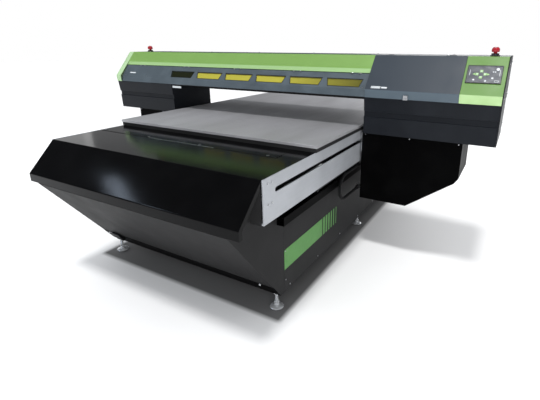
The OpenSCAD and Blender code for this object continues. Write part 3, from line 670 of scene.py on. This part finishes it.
def access_seam():
    """Raised hem round the access plate in front of the bed: rubber, with a bare steel stretch in its middle
    that paints a highlight along the seam.
    """
    y, z = extent("hood_top", "y")[0], extent("front_hood", "z")[1]
    left, right, highlight_from, highlight_to = BASE_X - 870, BASE_X + 730, -370, 230
    dark, bright_part = Shape(), Shape()
    # the steel middle stretch is a painted highlight where the seam catches the light
    for x0, x1, shape in ((left, highlight_from, dark), (highlight_from, highlight_to, bright_part),
                          (highlight_to, right + 4, dark)):
        shape.block((x0, x1), (y - 3, y + 4), (z - 0.5, z + 1.6))
    dark.block((right - 3, right + 4), (y + 4, y + 60), (z - 0.5, z + 1.6))
    piece("access_hem", dark, "rubber", "base", edge=0.5)
    piece("access_hem_highlight", bright_part, "steel", "base", edge=0.5)


def beam_screws():
    """Cap screws that clamp the linear rails, seen through the slot."""
    shape = Shape()
    for side in (-1, 1):
        for y in range(-1300, 1620, 120):
            shape.screw((BASE_X + side * 850, y, 890.5), "x", 4.5, side)
    piece("rail_screws", shape, "steel", "base", edge=0)


def rear_services():
    """Supply inlet, switch, glands, fan guards, louvre filters and a blank rating plate on the rear panel."""
    dark, pale, guards, filters = Shape(), Shape(), Shape(), Shape()
    rear = extent("rear_panel", "y")[1]
    fan_z, reach = 640, 98
    for x in (BASE_X - 450, BASE_X + 450):
        filters.block((x - 185, x + 185), (rear - 10, rear - 5), (245, 500))
    piece("louvre_filters", filters, "rubber", "base", edge=0)
    for x in (BASE_X - 380, BASE_X + 380):
        fan = (x, rear, fan_z)
        for r in range(30, 96, 13):
            wire = [(r - 1.5, 4), (r + 1.5, 4), (r + 1.5, 7), (r - 1.5, 7)]
            guards.turned(wire, fan, "y", 40, ring=True)
        for c, s in circle(8)[:4]:
            spoke = [(x + t * reach * c, rear + 3, fan_z + t * reach * s) for t in (-1, 1)]
            guards.swept(spoke, 2)
        dark.turned([(99, 0), (99, 3), (86, 4), (86, 0)], fan, "y", 48, ring=True)
    dark.block((BASE_X - 60, BASE_X + 40), (rear, rear + 4), (600, 690))
    dark.block((BASE_X - 44, BASE_X + 24), (rear + 4, rear + 9), (612, 646))
    dark.turned([(20, 4), (20, 7), (9, 8), (9, 9.5), (4, 9.5)], (BASE_X - 10, rear, 668), "y")
    gland = [(15, 0), (15, 5), (12, 7), (11, 9.5), (6, 9.5), (6, 4)]
    for k in range(4):
        dark.turned(gland, (BASE_X - 180 + k * 40, rear, 560), "y", 18)
    pale.block((BASE_X + 90, BASE_X + 190), (rear, rear + 0.8), (620, 680))
    piece("rear_inlet", dark, "dark_plastic", "base")
    piece("fan_guards", guards, "chrome", "base", edge=0)
    piece("rating_plate", pale, "alloy", "base", edge=0.2)


def blower_details():
    """Ribs and clamp bands on the two side-channel blowers."""
    ribs, bands = Shape(), Shape()
    for side in (-1, 1):
        place = (BASE_X + side * 300, 670, 0)
        for k in range(9):
            z = 205 + k * 20
            ribs.turned([(138, z), (146, z + 2), (146, z + 6), (138, z + 8)], place, sides=48)
        for z in (412, 606):
            bands.turned([(84, z), (88, z), (88, z + 12), (84, z + 12)], place, sides=40, ring=True)
    piece("blower_ribs", ribs, "cabinet_grey", "base", edge=0.6)
    piece("blower_bands", bands, "steel", "base", edge=0.3)


levelling_feet()
base_trim()
underpanel_foot_shade()
access_seam()
beam_screws()
rear_services()
blower_details()


# ---------------------------------------------------------------- cable chain
def cable_chain():
    """Links of the cable chain: two side plates with round ends and two cross bars each, along its U."""
    (x0, x1), (y0, y1), (z0, z1) = (extent("cable_chain", axis) for axis in "xyz")
    radius, pitch, plate, bar = 30, 40, 3.2, 2.4
    low, high, corner = -10.5, 10.5, 5
    mid_z = (z0 + z1) / 2
    bend_y = y0 + (z1 - z0) / 2
    run, bend = y1 - bend_y, math.pi * radius
    shape = Shape()

    def spot(s):
        """Place and heading at distance s along the chain's middle line, from the end of the upper run."""
        if s < run:
            return y1 - s, mid_z + radius, math.pi
        if s < run + bend:
            turn = (s - run) / radius
            return bend_y - radius * math.sin(turn), mid_z + radius * math.cos(turn), math.pi + turn
        return bend_y + s - run - bend, mid_z - radius, math.tau

    for i in range(int((2 * run + bend) / pitch)):
        s = (i + 0.5) * pitch
        y, z, heading = spot(s)
        in_bend = run - pitch / 2 < s < run + bend + pitch / 2
        reach = pitch / 2 + (1 if in_bend else 3)
        inset = 1.1 * (i % 2)
        shape.at = Matrix.Translation((0, y, z)) @ Matrix.Rotation(heading, 4, "X")
        outline = [(-reach + corner, low), (reach - corner, low), (reach, low + corner),
                   (reach, high - corner), (reach - corner, high), (-reach + corner, high),
                   (-reach, high - corner), (-reach, low + corner)]
        for x in (x0 + inset, x1 - plate - inset):
            shape.prism(outline, "x", (x, x + plate))
        for level in (low, high - bar):
            shape.block((x0 + plate, x1 - plate), (-8, 8), (level, level + bar))
    piece("chain_links", shape, "dark_plastic", "chain", ["cable_chain"], edge=0.4)


cable_chain()


# ---------------------------------------------------------------- gantry
TOP_Z, END_X = 1526, 1797   # the gantry's top face and its end faces
# Folds of the hood and of the window cover, as (y, z)
TOP_EDGE, CHIN = (-80, TOP_Z), (-280, 1297)
COVER_TOP, COVER_CHIN, COVER_FOOT = (-176, 1398), (-256, 1292), (-266.7, 1242)
# Middle of the control panel, across the machine and down from the hood's top edge, and of its arrow keys
PANEL_X, PANEL_S, ARROWS_X = 1664, 145, 1645


def slope(x, high, low, down):
    """Frame on a sloping face from high to low, down from its top edge: +Y runs up it and +Z out of it."""
    angle = math.atan2(high[1] - low[1], high[0] - low[0])
    return Matrix.Translation((x, *high)) @ Matrix.Rotation(angle, 4, "X") @ Matrix.Translation((0, -down, 0))


def rectangle(half_w, half_h, x=0, y=0):
    """Corners of a rectangle whose middle is at (x, y)."""
    left, right, low, high = x - half_w, x + half_w, y - half_h, y + half_h
    return [(left, low), (right, low), (right, high), (left, high)]


def window_gaskets():
    """Rubber lips round the six windows of the front cover."""
    pitch, first, width, slant, top, foot, lip = 329, -1063, 286, 18, -51, -113, 3
    shape = Shape(slope(0, COVER_TOP, COVER_CHIN, 0))
    for i in range(6):
        x0 = first + i * pitch
        x1 = x0 + width
        inner = [(x0, top), (x1, top), (x1 - slant, foot), (x0 + slant, foot)]
        outer = [(x0 - lip, top + lip), (x1 + lip, top + lip), (x1 - slant + lip, foot - lip),
                 (x0 + slant - lip, foot - lip)]
        shape.border(outer, inner, (-3, 1.2))
    piece("window_gaskets", shape, "rubber", "cover", edge=0.3)


def cover_trim():
    """Seal under the front cover, and its hold-down screws."""
    seal, heads = Shape(), Shape(slope(0, COVER_TOP, COVER_CHIN, 118))
    y, z = COVER_FOOT
    section = [(y - 1, z - 1), (y + 6, z - 1), (y + 6, z - 5), (y + 2, z - 7), (y - 1, z - 5)]
    seal.prism(section, "x", (-1020, 903))
    for x in (-1690, -1380, 880):
        heads.screw((x, 0, 0), "z", 4)
    piece("cover_seal", seal, "rubber", "cover", edge=0.3)
    piece("cover_screws", heads, "steel", "cover", edge=0)


def left_catch():
    """Pale catch under the front cover, near its left end."""
    shape = Shape()
    y, z = COVER_FOOT
    shape.block((-1004, -898), (y - 9, y - 2), (z - 32, z - 14))
    shape.block((-992, -910), (y - 13, y - 9), (z - 28, z - 18))
    piece("left_catch", shape, "key_white", "gantry", edge=0.8)


def control_panel_details():
    """Frame, marks, lamps and blank windows of the membrane panel."""
    place = slope(PANEL_X, TOP_EDGE, CHIN, PANEL_S)
    rim, white, green = Shape(place), Shape(place), Shape(place)
    mark = (5.1, 5.8)           # heights of a mark's foot, just inside the panel's face, and of its top
    rim.border(rectangle(103.5, 68.5), rectangle(99, 64), (0.2, 6.4))
    for x, low, high in ((-86, -10, 34), (88, -12, 36)):
        white.block((x - 1.2, x + 1.2), (low, high), (mark[0], 5.7))
    for x, y, r in ((-58, -44, 5), (12, -50, 5), (50, -28, 5.5), (50, 20, 3), (62, 20, 3)):
        white.turned([(r + 1.5, mark[0]), (r + 1.5, mark[1]), (r, 6.6), (r * 0.5, 7)], (x, y, 0), sides=20)
    white.border(rectangle(12, 7, 76, -52), rectangle(10, 5, 76, -52), mark)
    middle = ARROWS_X - PANEL_X
    for side in (-1, 1):
        base, tip = middle + side * 36, middle + side * 50
        green.prism([(base, -8), (tip, 0), (base, 8)], "z", mark)
    piece("panel_rim", rim, "dark_plastic", "gantry", edge=0.6)
    piece("panel_marks", white, "key_white", "gantry", edge=0)
    piece("panel_arrows", green, "key_green", "gantry", edge=0)


def key_arrows():
    """A raised arrow on each of the four direction keys."""
    pitch, half, key_top = 24, 5, 7
    middle = slope(ARROWS_X, TOP_EDGE, CHIN, PANEL_S)
    for k, name in enumerate(("key_right", "key_up", "key_left", "key_down")):
        turn = Matrix.Rotation(k * math.pi / 2, 4, "Z")
        shape = Shape(middle @ turn @ Matrix.Translation((pitch, 0, key_top)))
        shape.prism([(-half, -half), (half, 0), (-half, half)], "z", (0, 0.6))
        piece(name + "_arrow", shape, "key_white", name, edge=0)


def gantry_trim():
    """Seams, screws and vent filters on the gantry's fixed covers."""
    heads, seams, filters = Shape(), Shape(), Shape()
    for x in (-1300, -700, 700, 1300):
        filters.block((x - 215, x + 215), (321, 324), (1308, 1464))
    piece("vent_filters", filters, "rubber", "gantry", edge=0)
    for x in (-1600, -1000, -400, 200, 800, 1400):
        for y in (60, 300):
            heads.screw((x, y, TOP_Z), "z", 4.5)
        for z in (1500, 1262):
            heads.screw((x, 330, z), "y", 4.5)
    for y, z in ((-60, 1480), (-60, 1260), (280, 1480), (280, 1260), (0, 1060), (200, 1060)):
        heads.screw((END_X, y, z), "x", 5)
    for y, z in ((-60, 1480), (280, 1480), (280, 1270)):
        heads.screw((-END_X, y, z), "x", 5, -1)
    for x in (-560, 560):
        seams.block((x - 1.5, x + 1.5), (-15, 328), (TOP_Z - 1, TOP_Z + 0.6))
    piece("gantry_screws", heads, "steel", "gantry", edge=0)
    piece("gantry_seams", seams, "rubber", "gantry", edge=0)


def blank_plates():
    """Plain plates where the real covers carry small labels."""
    right = Shape(slope(0, TOP_EDGE, CHIN, 282))
    right.border(rectangle(34, 9, 985), rectangle(30, 5.5, 985), (0.05, 1.0))
    right.block((957, 1013), (-4, 4), (0.05, 0.9))
    right.block((1026, 1066), (-6, 6), (0.05, 0.9))
    piece("blank_plate_right", right, "key_white", "hood", edge=0.2)
    left = Shape(slope(0, COVER_TOP, COVER_CHIN, 88))
    left.prism([(-1640, -6), (-1560, -6), (-1556, 6), (-1636, 6)], "z", (0.05, 0.9))
    piece("blank_plate_left", left, "key_white", "cover", edge=0.2)


def leg_details():
    """Screws on the legs and cabinets, and the gaskets on top of the legs."""
    heads, seams = Shape(), Shape()
    y0, y1 = -180, 220
    for x0, x1 in ((873, 1592), (-1624, -937)):
        middle = ((x0 + x1) / 2, (y0 + y1) / 2)
        outer, inner = (rectangle((x1 - x0) / 2 - d, (y1 - y0) / 2 - d, *middle) for d in (5, 12))
        seams.border(outer, inner, (974.5, 974.9))
        for x in (x0 + 25, middle[0], x1 - 25):
            heads.screw((x, y0, 950), "y", 4.5, -1)
            heads.screw((x, y1, 950), "y", 4.5)
    for x in (1000, 1345, 1690, -1740, -1400, -1080):
        for z in (1010, 1190):
            heads.screw((x, 252, z), "y", 4.5)
    piece("leg_screws", heads, "steel", "gantry", edge=0)
    piece("leg_gaskets", seams, "rubber", "gantry", edge=0)


def stop_button_details():
    """Raised arrows on the stop buttons, and steel rings round their collars."""
    rings = Shape()
    button_y, arrow_r, arrow_z = 30, 16.5, TOP_Z + 56.4
    for name, x in (("estop_left", -1610), ("estop_right", 1697)):
        rings.turned([(27, 6), (29, 6), (29, 8), (27, 8)], (x, button_y, TOP_Z), sides=36, ring=True)
        marks = Shape()
        for k in range(3):
            turns = [k * math.tau / 3 + t * 0.25 for t in range(5)]
            curve = [(x + arrow_r * math.cos(a), button_y + arrow_r * math.sin(a), arrow_z) for a in turns]
            marks.swept(curve, [1.3, 1.3, 1.3, 2.4, 0.4])
        piece(name + "_arrows", marks, "key_white", name, edge=0)
    piece("stop_button_rings", rings, "steel", "gantry", edge=0.3)


def latch_handle():
    """Finger grip of the hood's turning catch."""
    shape = Shape()
    shape.prism([(-290.8, 1249), (-294, 1252), (-294, 1258), (-290.8, 1261)], "x", (1194, 1216))
    piece("latch_grip", shape, "steel", "latch", edge=0.5)


window_gaskets()
cover_trim()
left_catch()
control_panel_details()
key_arrows()
gantry_trim()
blank_plates()
leg_details()
stop_button_details()
latch_handle()


# ---------------------------------------------------------------- carriage
PARK_X = 1325                                               # the carriage's middle at rest
HEAD_XS = [PARK_X + (k - 3) * 34 for k in range(7)]         # middles of the seven print heads
HEAD_Y = -110


def carriage_details():
    """Lid screws, ink tubes and damper caps on the carriage."""
    heads, tubes, caps = Shape(), Shape(), Shape()
    lid_z = 1400
    for x in (PARK_X - 150, PARK_X + 150):
        for y in (-120, -10):
            heads.screw((x, y, lid_z), "z", 4)
        heads.screw((x, -225, 1215), "y", 4, -1)
    for k, x in enumerate(HEAD_XS):
        caps.turned([(10, 0), (10, 6), (8.5, 8), (4, 8), (4, 14), (3, 15)], (x, -60, lid_z), sides=18)
        end = (PARK_X + 110, -4 - k * 2, lid_z + 2 + k * 3)
        route = [(x, -60, lid_z + 13), (x + 2, -60, lid_z + 32), (x + 22, -48, lid_z + 40 - k), end]
        tubes.swept(smoothed(route, 6), 2.2)
    piece("carriage_screws", heads, "steel", "carriage", edge=0)
    piece("ink_tubes", tubes, "dark_plastic", "carriage", edge=0)
    piece("damper_caps", caps, "key_white", "carriage", edge=0.2)


def head_details():
    """Nozzle plates of the print heads, and lenses and fins of the curing lamps."""
    plates, lenses, fins = Shape(), Shape(), Shape()
    foot, lamp_foot = extent("print_heads", "z")[0], 1130
    for x in HEAD_XS:
        plates.border(rectangle(9.5, 58, x, HEAD_Y), rectangle(7, 54, x, HEAD_Y), (foot - 0.8, foot))
        for s in (-3, 3):
            plates.block((x + s - 0.6, x + s + 0.6), (HEAD_Y - 50, HEAD_Y + 50), (foot - 0.5, foot))
    for side in (-1, 1):
        x = PARK_X + side * 140
        rim = (lamp_foot - 1.8, lamp_foot)
        lenses.border(rectangle(9, 62, x, HEAD_Y), rectangle(6, 58, x, HEAD_Y), rim)
        lenses.block((x - 5, x + 5), (HEAD_Y - 56, HEAD_Y + 56), (lamp_foot - 1.2, lamp_foot))
        face = x + side * 10
        for y in range(-176, -40, 17):
            fins.block(sorted((face, face + side * 5)), (y, y + 6), (1136, 1204))
    piece("nozzle_plates", plates, "steel", "head_block", edge=0)
    piece("lamp_lenses", lenses, "lamp", "head_block", edge=0.2)
    piece("lamp_fins", fins, "alloy", "head_block", edge=0.3)


def cartridge_details():
    """Grips and blank labels of the ink cartridges."""
    labels, grips = Shape(), Shape()
    (y0, y1), (z0, z1) = (extent("ink_cartridges", axis) for axis in "yz")
    first, pitch = extent("ink_cartridges", "x")[0], 55
    for i in range(6):
        x = first + i * pitch
        labels.block((x + 6, x + 39), (y0 - 0.7, y0), (z0 + 18, z1 - 30))
        labels.block((x + 8, x + 37), (y0 + 30, y1 - 30), (z1, z1 + 0.6))
        grips.block((x + 12, x + 33), (y0 - 6, y0), (z1 - 22, z1 - 12))
    piece("cartridge_labels", labels, "key_white", "gantry", edge=0)
    piece("cartridge_grips", grips, "dark_plastic", "gantry", edge=0.6)


def cap_lips():
    """Soft lips round the caps that seal the parked heads."""
    shape = Shape()
    top = extent("cap_tray", "z")[1]
    for x in HEAD_XS:
        shape.border(rectangle(13, 71, x, HEAD_Y), rectangle(12, 70, x, HEAD_Y), (top - 3, top + 3))
    piece("cap_lips", shape, "rubber", "caps", edge=0)


carriage_details()
head_details()
cartridge_details()
cap_lips()


# ---------------------------------------------------------------- CAD nodes and floor
def dress_cad_nodes():
    """Gives the CAD's own solids their finishes, and softens their edges."""
    for name, node in frame["nodes"].items():
        node.data.materials.clear()
        node.data.materials.append(OWN_FINISH.get(name, FINISHES[SLOT_OF[name]]))
        if name == "control_panel":
            continue                # its thin flat face shades best as it is
        weld = node.modifiers.new("weld", "WELD")
        weld.merge_threshold = 0.00002
        soften(node, 1.6)


def pale_floor():
    """White floor, with a painted shadow under the base and out to its feet."""
    reach = 40
    data = bpy.data.meshes.new("floor")
    data.from_pydata([(-reach, -reach, 0), (reach, -reach, 0), (reach, reach, 0), (-reach, reach, 0)],
                     [], [(0, 1, 2, 3)])
    floor = bpy.data.objects.new("floor", data)
    bpy.context.scene.collection.objects.link(floor)
    f = Finish("pale_floor")
    f.colour(f.noise(0.8, 3), (0.88, 0.88, 0.88), (0.90, 0.90, 0.90))
    sides = []
    for axis, low, high in (("X", -0.87, 0.81), ("Y", -1.30, 1.64)):
        sides.append(f.ranged(f.along(axis), 0, 1, low - 0.02, low + 0.02))
        sides.append(f.ranged(f.along(axis), 1, 0, high - 0.02, high + 0.02))
    under = f.product(f.product(sides[0], sides[1]), f.product(sides[2], sides[3]))
    # painted shadow: the floor is darker inside the base's outline
    f.base(f.mixed(under, f.tone, (0.14, 0.14, 0.14)))
    f.roughness(f.noise(3, 3), 0.6, 0.7)
    data.materials.append(f.material)


dress_cad_nodes()
pale_floor()
